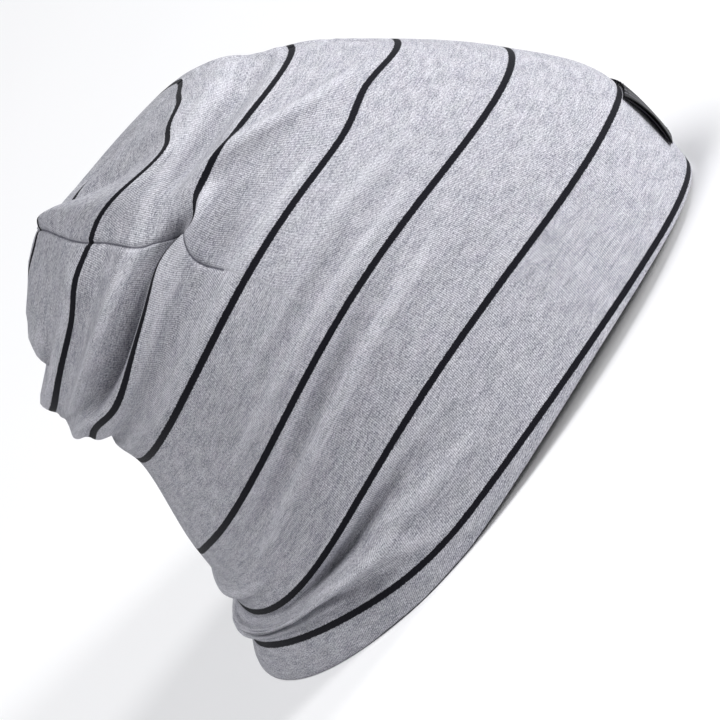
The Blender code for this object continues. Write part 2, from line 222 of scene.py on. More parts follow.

# %% [markdown]
# ## Folds and darts
#
# The slumped crown folds over itself, and the nape is squeezed into rolls. Each fold is one row of a
# table: where it lies, how far it reaches, and how far it pushes the cloth out or up. The imported model
# has the rows above already. The second table, here, adds the finer ones, which only close rows of cloth
# can show: narrow ridges beside the stripes, slanting creases at the nape, and the last bends of the
# crown stripes. A dart is a seam that takes cloth away, so it shows as a thin crease with a small ridge
# on each side and short puckers across it. Cloth simulation could find folds too, but not these ones,
# so they are listed one by one.

# %% The table of finer folds
FINE_FOLDS = (
    ("nape_crease_near", 138, 0.34, 17, 0.07, 1.20, -0.050, 0.00, 0.00),
    ("nape_tip_ease", 173, 0.62, 8, 0.10, 0.00, 0.00, 0.02, 0.00),
    ("nape_slant_ridge", 126, 0.44, 17, 0.11, 1.80, 0.075, 0.00, 0.00),
    ("nape_slant_valley", 120, 0.56, 17, 0.12, 1.80, -0.060, 0.00, 0.00),
    ("side_crease_ease", 98, 0.76, 17, 0.14, 0.15, 0.070, 0.00, 0.00),
    ("middle_ridge", 92, 2.21, 30, 0.08, 0.10, 0.050, 0.00, 0.00),
    ("middle_crease", 92, 2.36, 30, 0.13, 0.10, -0.070, 0.00, 0.00),
    ("low_ridge_ease", 105, 1.53, 32, 0.10, -0.20, -0.070, 0.00, 0.00),
    ("low_ridge_crisp", 102, 1.64, 28, 0.08, -0.15, 0.070, 0.00, 0.00),
    ("low_crease_broad", 100, 1.84, 32, 0.13, -0.15, -0.040, 0.00, 0.00),
    ("hem_crease_fine", 150, 0.14, 26, 0.06, 0.10, -0.030, 0.00, 0.00),
    ("slope_ridge", 92, 3.14, 32, 0.08, 0.00, 0.045, 0.00, 0.00),
    ("front_soft_ridge", 62, 2.60, 26, 0.14, 0.40, 0.030, 0.00, 0.00),
    ("front_soft_valley", 70, 1.36, 30, 0.16, 0.30, -0.030, 0.00, 0.00),
    ("second_stripe_front", 0, 1.00, 15, 0.40, 0.00, 0.00, -0.050, 0.00),
    ("sixth_stripe_sweep", 57, 5.00, 22, 0.30, 0.00, 0.00, -0.16, 0.00),
    ("sixth_stripe_top", 28, 5.00, 11, 0.30, 0.00, 0.00, -0.12, 0.00),
    ("seventh_stripe_near", 84, 6.00, 22, 0.22, 0.00, 0.00, 0.12, 0.00),
    ("seventh_stripe_far", 20, 6.00, 24, 0.28, 0.00, 0.00, -0.20, 0.00),
    ("crown_far_fall", 335, 5.95, 34, 0.40, 0.00, -0.10, 0.00, 0.00),
)
FOLD_FADE = 1.2
SEAM_WIDTH = 0.0007
SEAM_SHOULDER = 0.0028
PUCKER_PITCH = 0.0085
PUCKER_DEPTH = 0.00035
PUCKER_REACH = 0.005

print("packed folds", len(FOLDS), "and finer ones", len(FINE_FOLDS))


# %% Fold the rings
def outward_normals(points):
    """Unit normals of a ring grid, facing out, and unit directions up the cloth and round it."""
    upward = np.gradient(points, axis=0)
    onward = np.gradient(points, axis=1)
    onward[:, 0] = onward[:, -1] = points[:, 1] - points[:, -2]
    normal = np.cross(upward, onward)
    normal /= np.linalg.norm(normal, axis=2, keepdims=True) + 1e-12
    upward = upward / (np.linalg.norm(upward, axis=2, keepdims=True) + 1e-12)
    outside = points - points.mean(axis=1, keepdims=True)
    onward = onward / (np.linalg.norm(onward, axis=2, keepdims=True) + 1e-12)
    return normal * np.sign((outside * normal).sum()), upward, onward


def along_rings(points):
    """Distance along each ring from its first point."""
    steps = np.linalg.norm(np.diff(points, axis=1), axis=2)
    return np.concatenate([np.zeros((len(points), 1)), np.cumsum(steps, axis=1)], axis=1)


def from_nearest_seam(points, turn):
    """Distance along the ring to the nearest of the four dart lines, which lie at each quarter turn."""
    run = along_rings(points)
    quarter = np.round(np.degrees(turn) / (360 / DARTS)) * (360 / DARTS)
    seams = np.unique(quarter)
    at = np.array([[np.interp(np.radians(s), turn, r) for s in seams] for r in run])
    place = np.searchsorted(seams, quarter)
    return np.abs(run - at[:, place])


def folded_rings(levels, turn):
    """The rings with every fold, the dart seams and the turned rim. turn runs once round the hat."""
    points = smooth_rings(levels, turn)
    normal, upward, onward = outward_normals(points)
    degrees = np.degrees(turn)[None]
    level = levels[:, None]
    pushed = points.copy()
    for row in FOLDS + FINE_FOLDS:
        fold = dict(zip(FOLD_COLUMNS, row))
        away = (degrees - fold["round"] + 180) % 360 - 180
        past = level - (fold["level"] + fold["slope"] * away / 100)
        fade = FOLD_FADE * (away / fold["reach"]) ** 2 + FOLD_FADE * (past / fold["breadth"]) ** 2
        push = fold["out"] * normal + fold["rise"] * upward + fold["shift"] * onward
        pushed += np.exp(-fade)[..., None] * CLOTH_PITCH * push
    from_seam = from_nearest_seam(points, turn)
    opened = np.clip((level - DART_START) / 0.5, 0, 1) * np.clip((SECTIONS[-1][1] - level) / 0.4, 0, 1)
    crease = -SEAM_DEPTH * np.exp(-((from_seam / SEAM_WIDTH) ** 2))
    shoulder = 0.2 * SEAM_DEPTH * np.exp(-(((from_seam - SEAM_SHOULDER) / SEAM_SHOULDER) ** 2))
    climb = level * CLOTH_PITCH / PUCKER_PITCH + 0.35 * np.sin(level * 9)
    pucker = PUCKER_DEPTH * np.sin(2 * np.pi * climb) * np.exp(-from_seam / PUCKER_REACH)
    pushed += (opened * (crease + shoulder + pucker))[..., None] * normal
    under = np.clip((HEM_AT + HEM_TURN - level) / HEM_TURN, 0, 1)
    pushed -= RIM_ROUNDING * under[..., None] * normal * np.array([1.0, 1.0, 0.0])
    pushed[..., 2] = np.maximum(pushed[..., 2], 0)
    return pushed


strongest = max(abs(row[FOLD_COLUMNS.index("out")]) for row in FOLDS + FINE_FOLDS)
print("the strongest fold pushes the cloth", round(strongest * CLOTH_PITCH * 1000, 1), "mm out or in")

# %% [markdown]
# ## The jersey
#
# The bag is cut from a knit tube, so it starts here as a flat grid, as cloth does. Its columns are the
# wales of the knit and its rows the courses. The grid is rolled into the folded rings, its two side
# edges are joined, and the last row closes at the crown tip. Columns stand closer together near the four
# darts, and rows where the cloth folds, because that is where a crease needs more points.

# %% Choose where the columns and rows of the cloth stand
CLOTH_COLUMNS = 248
CROWDING = 0.6
ROW_BANDS = (
    ("turned rim", -0.20, 0.00, 8),
    ("nape rolls", 0.00, 1.30, 42),
    ("side folds", 1.30, 2.60, 48),
    ("plain side", 2.60, 3.60, 18),
    ("slump folds", 3.60, 5.60, 54),
    ("crown", 5.60, 6.46, 14),
)
even = np.linspace(-np.pi / 2, 3 * np.pi / 2, CLOTH_COLUMNS + 1)
column_turn = even - CROWDING * np.sin(DARTS * even) / DARTS
bands = [np.linspace(low, high, rows, endpoint=False) for name, low, high, rows in ROW_BANDS]
row_level = np.concatenate(bands + [[ROW_BANDS[-1][2], SECTIONS[-1][1]]])
CLOTH_ROWS = len(row_level) - 1
print("cloth grid", CLOTH_COLUMNS, "by", CLOTH_ROWS)

# %% Roll the flat grid into the folded bag
cloth_points = folded_rings(row_level, column_turn)
cloth_points[:, -1] = cloth_points[:, 0]
cloth_points[-1] = cloth_points[-2].mean(axis=0)
cloth_points += np.array(CENTRE_SHIFT)

bpy.ops.mesh.primitive_grid_add(
    x_subdivisions=CLOTH_COLUMNS, y_subdivisions=CLOTH_ROWS, size=1, location=(0, 0, 0)
)
jersey = bpy.context.active_object
jersey.name = jersey.data.name = "striped_jersey"
flat = np.empty(len(jersey.data.vertices) * 3)
jersey.data.vertices.foreach_get("co", flat)
flat = flat.reshape(-1, 3)
grid_column = np.round((flat[:, 0] + 0.5) * CLOTH_COLUMNS).astype(int)
grid_row = np.round((flat[:, 1] + 0.5) * CLOTH_ROWS).astype(int)
print("grid corners", len(flat), "last column", grid_column.max(), "last row", grid_row.max())

# %% [markdown]
# ## A ruler woven into the cloth
#
# The stripes, the wales and the flecks all follow the cloth, not the room, so the cloth gets its own map
# in millimetres, as if it lay flat. Up the cloth the map reads 34 mm more at each stripe, and it runs
# at true size beside each stripe, so that every stripe keeps its width. Round the cloth it counts along
# the tube, and above the dart starts it counts from the middle of each crown panel, so the wales stay
# parallel and are cut off at the seams, as in a sewn crown.

# %% Measure the cloth up and round
TUBE_AROUND = 0.548
TRUE_BY_STRIPE = 0.003
CUT_STARTS_BELOW = 0.9
NO_SEAM_MM = 60


def up_columns(points):
    """Distance up each column from its first point."""
    steps = np.linalg.norm(np.diff(points, axis=0), axis=2)
    return np.concatenate([np.zeros((1, points.shape[1])), np.cumsum(steps, axis=0)])


def climb_of_cloth(points):
    """Distance up each column from the first stripe, with exactly one pitch from stripe to stripe."""
    run = up_columns(points)
    stripes = np.arange(0, 7)
    climb = np.empty_like(run)
    for c in range(points.shape[1]):
        at = np.interp(stripes, row_level, run[:, c])
        gap = np.diff(at)
        i = np.clip(np.searchsorted(at, run[:, c], side="right") - 1, 0, len(gap) - 1)
        past = run[:, c] - at[i]
        fit = (CLOTH_PITCH - 2 * TRUE_BY_STRIPE) / (gap[i] - 2 * TRUE_BY_STRIPE)
        between = np.minimum(past, TRUE_BY_STRIPE) + fit * np.clip(past - TRUE_BY_STRIPE, 0, None)
        near_next = np.clip(past - gap[i] + TRUE_BY_STRIPE, 0, None)
        between = np.minimum(between, CLOTH_PITCH - TRUE_BY_STRIPE) + near_next
        inside = (run[:, c] >= at[0]) & (run[:, c] <= at[-1])
        below = run[:, c] - at[0]
        above = stripes[-1] * CLOTH_PITCH + run[:, c] - at[-1]
        climb[:, c] = np.where(inside, i * CLOTH_PITCH + between, np.where(below < 0, below, above))
    return climb


def count_round_cloth(points):
    """Distance round the tube, and above the dart starts the distance from each panel's middle."""
    run = along_rings(points)
    panel = np.clip(np.floor((np.degrees(column_turn) + 90) / (360 / DARTS)), 0, DARTS - 1)
    middle = np.radians(-90 + (panel + 0.5) * 360 / DARTS)
    at_middle = np.array([[np.interp(m, column_turn, r) for m in middle] for r in run])
    cut_panel = (panel + 0.5) * TUBE_AROUND / DARTS + run - at_middle
    whole_tube = (column_turn + np.pi / 2) / (2 * np.pi) * TUBE_AROUND + 0 * run
    cut = np.clip(row_level - (DART_START - CUT_STARTS_BELOW), 0, 1)[:, None]
    return whole_tube + (cut_panel - whole_tube) * cut * cut * (3 - 2 * cut)


cloth_up_mm = climb_of_cloth(cloth_points) * 1000
cloth_round_mm = count_round_cloth(cloth_points) * 1000
seam_mm = from_nearest_seam(cloth_points, column_turn) * 1000
seam_mm += NO_SEAM_MM * np.clip((DART_START + 0.1 - row_level) / 0.1, 0, 1)[:, None]
print("cloth reads from", round(cloth_up_mm.min(), 1), "to", round(cloth_up_mm.max(), 1), "mm up")

# %% Write the ruler and the bag into the grid
jersey.data.vertices.foreach_set("co", cloth_points[grid_row, grid_column].ravel())
corner_vertex = np.empty(len(jersey.data.loops), int)
jersey.data.loops.foreach_get("vertex_index", corner_vertex)
ruler = jersey.data.uv_layers[0]
ruler.name = "cloth_mm"
place = grid_row[corner_vertex], grid_column[corner_vertex]
ruler.data.foreach_set("uv", np.stack([cloth_round_mm[place], cloth_up_mm[place]], axis=1).ravel())
seam_ruler = jersey.data.attributes.new("seam_mm", "FLOAT", "POINT")
seam_ruler.data.foreach_set("value", seam_mm[grid_row, grid_column])
print("ruler covers", len(corner_vertex), "face corners")

# %% [markdown]
# ## Painted highlights on the crests of the folds
#
# The crests of the folds are painted paler in the material, a painted highlight that makes up for ridges
# that are softer than the real ones and so catch less light. So each corner of the grid is compared with
# the middle of two places a few millimetres below and above it. Standing proud of that middle makes it a
# crest, and the height in millimetres goes into the mesh for the material to read.

# %% Measure the crests
CREST_REACH = 0.003
CREST_ENDS_AT = 6.3


def height_over_chord(points, reach):
    """How far each point stands out from the middle of two others, reach below and reach above it."""
    run = up_columns(points)
    middle = np.empty_like(points)
    for c in range(points.shape[1]):
        for axis in range(3):
            ends = [np.interp(run[:, c] + way, run[:, c], points[:, c, axis]) for way in (-reach, reach)]
            middle[:, c, axis] = (ends[0] + ends[1]) / 2
    return ((points - middle) * outward_normals(points)[0]).sum(axis=2)


crest_mm = height_over_chord(cloth_points, CREST_REACH) * 1000
above_rim = np.clip(row_level / 0.1, 0, 1)
below_tip = np.clip((CREST_ENDS_AT - row_level) / 0.2, 0, 1)
crest_mm *= (above_rim * below_tip)[:, None]
crest_ruler = jersey.data.attributes.new("crest_mm", "FLOAT", "POINT")
crest_ruler.data.foreach_set("value", crest_mm[grid_row, grid_column])
print("crests up to", round(crest_mm.max(), 2), "mm, valleys down to", round(crest_mm.min(), 2), "mm")

# %% [markdown]
# ## Thick at the rim, thin in the folds
#
# The rim is where the bag turns in on itself, so it shows the full thickness of both layers. In the tight
# rolls of the nape and the crown the stretched jersey is thinner, and a wall as thick as at the rim would
# poke out through a narrow fold. A vertex group says how much of the full wall each row gets.

# %% Say how thick each row of the cloth is
WALL_SHARE_ABOVE = 0.5
THINS_FROM = -0.12
THINS_TO = 0.10

thinned = np.clip((row_level - THINS_FROM) / (THINS_TO - THINS_FROM), 0, 1)
wall_share = 1 - (1 - WALL_SHARE_ABOVE) * thinned
wall_group = jersey.vertex_groups.new(name="wall_share")
vertex_number = np.arange(len(grid_row))
for row, share in enumerate(wall_share):
    wall_group.add([int(v) for v in vertex_number[grid_row == row]], float(share), "REPLACE")
print("wall from", JERSEY_WALL * 1000, "mm at the rim to", JERSEY_WALL * 1000 * WALL_SHARE_ABOVE, "mm above")

# %% Sew up the tube and give the cloth its two layers
JOIN_WITHIN = 0.00001

bpy.ops.object.mode_set(mode="EDIT")
bpy.ops.mesh.select_all(action="SELECT")
bpy.ops.mesh.remove_doubles(threshold=JOIN_WITHIN)
bpy.ops.mesh.normals_make_consistent(inside=False)
bpy.ops.object.mode_set(mode="OBJECT")

both_layers = jersey.modifiers.new("both_layers", "SOLIDIFY")
both_layers.thickness = JERSEY_WALL
both_layers.offset = -1
both_layers.material_offset_rim = 1
both_layers.vertex_group = "wall_share"
jersey.data.materials.append(bpy.data.materials.new("outside"))
jersey.data.materials.append(bpy.data.materials.new("fold"))
bpy.ops.object.modifier_apply(modifier="both_layers")
print("corners of both layers", len(jersey.data.vertices))

# %% [markdown]
# ## Round the turned rim
#
# The rim is a fold, so its underside is round and not square. The strip that joins the layers there has
# its own material number, which finds it, and a bevel rounds its two edges. The hat rests on that fold.

# %% Round the rim
RIM_BEVEL = 0.0009

for vert in jersey.data.vertices:
    vert.co.z = max(vert.co.z, 0.0)
under_rim = [face for face in jersey.data.polygons if face.material_index == 1]
for part in (jersey.data.vertices, jersey.data.edges, jersey.data.polygons):
    part.foreach_set("select", [False] * len(part))
for face in under_rim:
    face.select = True
    face.material_index = 0
bpy.ops.object.mode_set(mode="EDIT")
bpy.ops.mesh.select_mode(type="FACE")
bpy.ops.mesh.region_to_loop()
bpy.ops.mesh.bevel(offset=RIM_BEVEL, segments=3, affect="EDGES")
bpy.ops.object.mode_set(mode="OBJECT")
bpy.ops.object.shade_smooth()
print("rim faces rounded", len(under_rim), "faces in the bag", len(jersey.data.polygons))

# %% [markdown]
# ## The label
#
# The label is a short black ribbon, folded flat and sewn to the jersey along its upper and lower ends
# only. So both layers bow away from the cloth between the ends, most of all at their two sides, where the
# edge of a ribbon is stiffest, and the sides show the dark gap between the layers. Each layer is a small
# grid laid on the jersey and given a thickness. The face stays plain.

# %% Find the label's place on the jersey
LABEL_WIDTH = 0.0225
LABEL_HEIGHT = 0.0203
LABEL_BOTTOM_AT = 0.365
LABEL_GAP = 0.0003
RIBBON_THICKNESS = 0.0004
FACE_ARCH = 0.0011
BACK_ARCH = 0.0008
LABEL_CELLS = 28
LABEL_MARGIN = 0.06

label_top_at = LABEL_BOTTOM_AT + LABEL_HEIGHT / CLOTH_PITCH
label_levels = np.linspace(LABEL_BOTTOM_AT - LABEL_MARGIN, label_top_at + LABEL_MARGIN, 61)
whole_turn = np.radians(np.linspace(-180, 180, 721))
front_rings = folded_rings(label_levels, whole_turn) + np.array(CENTRE_SHIFT)
front_facing = outward_normals(front_rings)[0]
front_run = along_rings(front_rings)
front_run -= front_run[:, 360:361]


def on_jersey(across, up):
    """The point and normal of the jersey, this far across from the front and this share up the label."""
    level = LABEL_BOTTOM_AT + up * LABEL_HEIGHT / CLOTH_PITCH
    j = np.interp(level, label_levels, np.arange(len(label_levels)))
    low_row = int(min(j, len(label_levels) - 2))
    share = j - low_row
    found = []
    for grid in (front_rings, front_facing):
        rows = [
            [np.interp(across, front_run[r], grid[r][:, k]) for k in range(3)]
            for r in (low_row, low_row + 1)
        ]
        found.append(Vector(rows[0]).lerp(Vector(rows[1]), share))
    return found[0], found[1].normalized()


print("front of the jersey under the label", [round(v * 1000, 1) for v in on_jersey(0, 0.5)[0]], "mm")


# %% Lay the two ribbon layers
FACE_CLEAR = 0.0001
FACE_NARROWER = 0.0004
FACE_OVERHANG = 0.008


def bowed(across, up, arch):
    """How far a layer stands off the jersey. Both ends are held, and both sides stand out most."""
    bow = np.sin(np.pi * min(max(up, 0), 1)) ** 0.7
    return arch * bow * (0.35 + 1.3 * (2 * across / LABEL_WIDTH) ** 2)


def ribbon_layer(name, lift, arch, width, overhang):
    """One layer of the label: a grid laid on the jersey, bowed between its ends, and its thickness."""
    bpy.ops.object.select_all(action="DESELECT")
    bpy.ops.mesh.primitive_grid_add(
        x_subdivisions=LABEL_CELLS, y_subdivisions=LABEL_CELLS, size=1, location=(0, 0, 0)
    )
    layer = bpy.context.active_object
    layer.name = layer.data.name = name
    for vert in layer.data.vertices:
        across, up = vert.co.x * width, (vert.co.y + 0.5) * (1 + 2 * overhang) - overhang
        point, facing = on_jersey(across, up)
        vert.co = point + facing * (lift + bowed(across, up, arch))
    for corner in layer.data.uv_layers[0].data:
        corner.uv = ((corner.uv.x - 0.5) * width * 1000, corner.uv.y * LABEL_HEIGHT * 1000)
    layer.data.uv_layers[0].name = "ribbon_mm"
    bpy.ops.object.mode_set(mode="EDIT")
    bpy.ops.mesh.select_all(action="SELECT")
    bpy.ops.mesh.normals_make_consistent(inside=False)
    bpy.ops.object.mode_set(mode="OBJECT")
    if sum(face.normal.y for face in layer.data.polygons) > 0:
        layer.data.flip_normals()
    ribbon = layer.modifiers.new("ribbon", "SOLIDIFY")
    ribbon.thickness = RIBBON_THICKNESS
    ribbon.offset = 1
    bpy.ops.object.modifier_apply(modifier="ribbon")
    edge = layer.modifiers.new("soft_edge", "BEVEL")
    edge.width = RIBBON_THICKNESS * 0.45
    edge.segments = 3
    edge.limit_method = "ANGLE"
    edge.angle_limit = np.radians(50)
    bpy.ops.object.modifier_apply(modifier="soft_edge")
    bpy.ops.object.shade_smooth()
    return layer


label_back = ribbon_layer("label_back", LABEL_GAP, BACK_ARCH, LABEL_WIDTH, 0.0)
label_face = ribbon_layer(
    "label_face", LABEL_GAP + RIBBON_THICKNESS + FACE_CLEAR, FACE_ARCH,
    LABEL_WIDTH - FACE_NARROWER, FACE_OVERHANG,
)
print("label layers", label_back.name, label_face.name)

# %% [markdown]
# ## The stitches of the label
#
# A lockstitch shows as a row of short, slightly sunk thread ends. One stitch is a small cylinder with its
# two ends rounded off and drawn in, and it is copied along both sewn ends of the label.

# %% Sew the label on
STITCH_LENGTH = 0.0021
STITCH_PITCH = 0.0027
STITCH_END_GAP = 0.002
THREAD = 0.00032
STITCH_INSET = 0.05
STITCH_SINK = 0.0003

bpy.ops.object.select_all(action="DESELECT")
bpy.ops.mesh.primitive_cylinder_add(
    vertices=12, radius=THREAD / 2, depth=STITCH_LENGTH, location=(0, 0, 0)
)
stitch = bpy.context.active_object
bpy.ops.object.mode_set(mode="EDIT")
bpy.ops.mesh.select_all(action="SELECT")
bpy.ops.mesh.subdivide(number_cuts=4)
bpy.ops.object.mode_set(mode="OBJECT")
for vert in stitch.data.vertices:
    end = abs(vert.co.z) / (STITCH_LENGTH / 2)
    thin = 1 - 0.45 * end**6
    vert.co.x *= thin
    vert.co.y = vert.co.y * thin - STITCH_SINK * end**2
stitch_shape = [vert.co.copy() for vert in stitch.data.vertices]


def sewn_stitches(name, up):
    """Copies of the stitch along one end of the label."""
    count = int((LABEL_WIDTH - STITCH_END_GAP) / STITCH_PITCH)
    copies = []
    for k in range(count):
        across = (k - (count - 1) / 2) * STITCH_PITCH
        copy = stitch.copy()
        copy.data = stitch.data.copy()
        bpy.context.collection.objects.link(copy)
        point, facing = on_jersey(across, up)
        lift = LABEL_GAP + 2 * RIBBON_THICKNESS + FACE_CLEAR + bowed(across, up, FACE_ARCH)
        along = (on_jersey(across + 0.001, up)[0] - on_jersey(across - 0.001, up)[0]).normalized()
        beside = facing.cross(along)
        for vert, shape in zip(copy.data.vertices, stitch_shape):
            vert.co = point + facing * (lift + shape.y) + along * shape.z + beside * shape.x
        copies.append(copy)
    bpy.ops.object.select_all(action="DESELECT")
    for copy in copies:
        copy.select_set(True)
    bpy.context.view_layer.objects.active = copies[0]
    bpy.ops.object.join()
    row = bpy.context.active_object
    row.name = row.data.name = name
    bpy.ops.object.shade_smooth()
    return row, count


upper_stitches, upper_count = sewn_stitches("label_stitches_upper", 1 - STITCH_INSET)
lower_stitches, lower_count = sewn_stitches("label_stitches_lower", STITCH_INSET)
bpy.data.objects.remove(stitch)
print("stitches", upper_count + lower_count)

# %% [markdown]
# ## Colours and nodes
#
# Colours are picked as the screen shows them and turned into the linear numbers that the renderer adds
# up. One helper adds any node, sets it and joins it, so a material reads from top to bottom.

# %% Two helpers for every material
MATH = "ShaderNodeMath"
VECTOR_MATH = "ShaderNodeVectorMath"
NOISE = "ShaderNodeTexNoise"
MAP_RANGE = "ShaderNodeMapRange"
BUMP = "ShaderNodeBump"
COLOUR_MIX = "ShaderNodeMix"
MIX_SHARE = 0
MIX_FIRST = 6
MIX_SECOND = 7
MIXED = 2


def linear(hex_colour):
    """An sRGB colour such as "c8c8d0" as linear red, green, blue and alpha."""
    srgb = np.array([int(hex_colour[k : k + 2], 16) for k in (0, 2, 4)]) / 255
    value = np.where(srgb <= 0.04045, srgb / 12.92, ((srgb + 0.055) / 1.055) ** 2.4)
    return (*[float(v) for v in value], 1.0)


def add_node(tree, kind, joined=(), out=0, **settings):
    """Adds one node. joined holds a value or another node's output for each input, in order or by name.

    It gives the node's output called out, or the node itself where out is None.
    """
    node = tree.nodes.new(kind)
    for name, value in settings.items():
        setattr(node, name, value)
    for socket, value in joined.items() if isinstance(joined, dict) else enumerate(joined):
        if isinstance(value, bpy.types.NodeSocket):
            tree.links.new(value, node.inputs[socket])
        else:
            node.inputs[socket].default_value = value
    return node if out is None else node.outputs[out]


def new_material(name):
    """An empty material with one shader in it."""
    material = bpy.data.materials.new(name)
    material.use_nodes = True
    tree = material.node_tree
    tree.nodes.clear()
    shader = add_node(tree, "ShaderNodeBsdfPrincipled", out=None)
    add_node(tree, "ShaderNodeOutputMaterial", {"Surface": shader.outputs[0]}, out=None)
    return material, tree, shader


print("a middle grey reads", [round(v, 4) for v in linear("808080")[:3]])

# %% [markdown]
# ## Heather jersey with stripes
#
# Heather yarn is spun from pale and dark cotton together, and knit in courses round the tube, so its
# flecks are short streaks along the courses, cut into dots by the wales, and softer streaks a few
# millimetres long lie among them. The face of single jersey is all small V stitches in upright columns.
# The real wales are about 0.66 mm apart, which is two pixels here. The stripes are a few courses of black
# yarn, so their edges step up and down at each wale. Cotton is matt with a fine fuzz that catches light
# at the edges, which is what the sheen gives. A picture of cloth would be quicker, but it would stretch
# over the folds, so every pattern is worked out from the cloth's own ruler.

# %% Sizes and colours of the knit
WALE_MM = 0.66
COURSE_MM = 0.55
STRIPE_PITCH_MM = 34.0
STRIPE_HALF_MM = 1.14
STRIPE_STEP_MM = 0.16
STRIPE_RAGGED_MM = 0.5
FLECK_LONG_MM = 0.78
FLECK_HIGH_MM = 0.42
STREAK_LONG_MM = 6.0
STREAK_HIGH_MM = 1.1
MOTTLE_LONG_MM = 7.0
MOTTLE_HIGH_MM = 4.375
HEATHER_STEPS = ((0.38, "71717b"), (0.62, "c6c6cd"), (0.50, "a3a3aa"))
STRIPE_BLACK = "040407"
STRIPE_WORN = "15151f"
SEAM_SHADE = "6e6e7c"

jersey_material, tree, shader = new_material("heather_jersey_striped")
cloth = add_node(tree, "ShaderNodeUVMap", uv_map="cloth_mm")
cloth_axes = add_node(tree, "ShaderNodeSeparateXYZ", [cloth], out=None)
round_mm, up_mm = cloth_axes.outputs[0], cloth_axes.outputs[1]
print("wales", WALE_MM, "mm and courses", COURSE_MM, "mm apart")

# %% The V stitches: columns of slanted loops, as a height from 0 to 1
LOOP_SLANT = 1.1
LOOP_HEIGHT = 0.10

wale_turn = add_node(tree, MATH, [round_mm, WALE_MM], operation="DIVIDE")
from_groove = add_node(tree, MATH, [wale_turn, 0.5], operation="PINGPONG")
wale_angle = add_node(tree, MATH, [from_groove, np.pi], operation="MULTIPLY")
wale_round = add_node(tree, MATH, [wale_angle], operation="SINE")
course_turn = add_node(tree, MATH, [up_mm, COURSE_MM], operation="DIVIDE")
slant = add_node(tree, MATH, [from_groove, LOOP_SLANT, course_turn], operation="MULTIPLY_ADD")
loop_angle = add_node(tree, MATH, [slant, 2 * np.pi], operation="MULTIPLY")
loop_wave = add_node(tree, MATH, [loop_angle], operation="SINE")
stitch_height = add_node(tree, MATH, [loop_wave, LOOP_HEIGHT, wale_round], operation="MULTIPLY_ADD")
print("nodes of the V stitches", len(tree.nodes))

# %% The flecks of the heather yarn
FLECK_SHARE = 0.66
MOTTLE_SHARE = 0.14
STREAK_SHARE = 0.20
# The next three numbers set the painted highlight that makes the crests of the folds paler.
CREST_HIGHLIGHT_SHARE = 0.04
CREST_HIGHLIGHT_FROM_MM = 0.10
CREST_HIGHLIGHT_TO_MM = 0.42
WARMTH = 0.05

fleck_place = add_node(
    tree, VECTOR_MATH, [cloth, (1 / FLECK_LONG_MM, 1 / FLECK_HIGH_MM, 1)], operation="MULTIPLY"
)
fleck = add_node(tree, NOISE, {"Vector": fleck_place, "Scale": 1.0, "Detail": 3.0, "Roughness": 0.62})
mottle_place = add_node(
    tree, VECTOR_MATH, [cloth, (1 / MOTTLE_LONG_MM, 1 / MOTTLE_HIGH_MM, 1)], operation="MULTIPLY"
)
mottle = add_node(
    tree, NOISE, {"Vector": mottle_place, "Scale": 1.0, "Detail": 4.0, "Roughness": 0.6}, out=None
)
streak_place = add_node(
    tree, VECTOR_MATH, [cloth, (1 / STREAK_LONG_MM, 1 / STREAK_HIGH_MM, 1)], operation="MULTIPLY"
)
streak = add_node(tree, NOISE, {"Vector": streak_place, "Scale": 1.0, "Detail": 2.0, "Roughness": 0.55})
streaks = add_node(tree, MATH, [streak, STREAK_SHARE], operation="MULTIPLY")
broad = add_node(tree, MATH, [mottle.outputs[0], MOTTLE_SHARE, streaks], operation="MULTIPLY_ADD")
# Painted highlight: the crests of the folds, read from crest_mm, are made paler.
crest = add_node(tree, "ShaderNodeAttribute", out="Fac", attribute_name="crest_mm")
painted_crest_highlight = add_node(
    tree, MAP_RANGE,
    {
        "Value": crest, "From Min": CREST_HIGHLIGHT_FROM_MM, "From Max": CREST_HIGHLIGHT_TO_MM,
        "To Min": 0.0, "To Max": CREST_HIGHLIGHT_SHARE,
    },
    interpolation_type="SMOOTHSTEP",
)
with_painted_highlight = add_node(tree, MATH, [broad, painted_crest_highlight], operation="ADD")
blend = add_node(tree, MATH, [fleck, FLECK_SHARE, with_painted_highlight], operation="MULTIPLY_ADD")
heather = add_node(tree, "ShaderNodeValToRGB", [blend], out=None)
(dark_at, dark), (pale_at, pale), (middle_at, middle) = HEATHER_STEPS
heather.color_ramp.elements[0].position = dark_at
heather.color_ramp.elements[0].color = linear(dark)
heather.color_ramp.elements[1].position = pale_at
heather.color_ramp.elements[1].color = linear(pale)
heather.color_ramp.elements.new(middle_at).color = linear(middle)
warm = add_node(
    tree, COLOUR_MIX,
    {MIX_SHARE: WARMTH, MIX_FIRST: heather.outputs[0], MIX_SECOND: mottle.outputs[1]},
    out=MIXED, data_type="RGBA", blend_type="SOFT_LIGHT",
)
print("yarn colours", [colour for place, colour in HEATHER_STEPS])

# %% The stripes: black courses whose edges step at each wale
STRIPE_EDGE_FROM_MM = 0.02
STRIPE_EDGE_TO_MM = 0.26

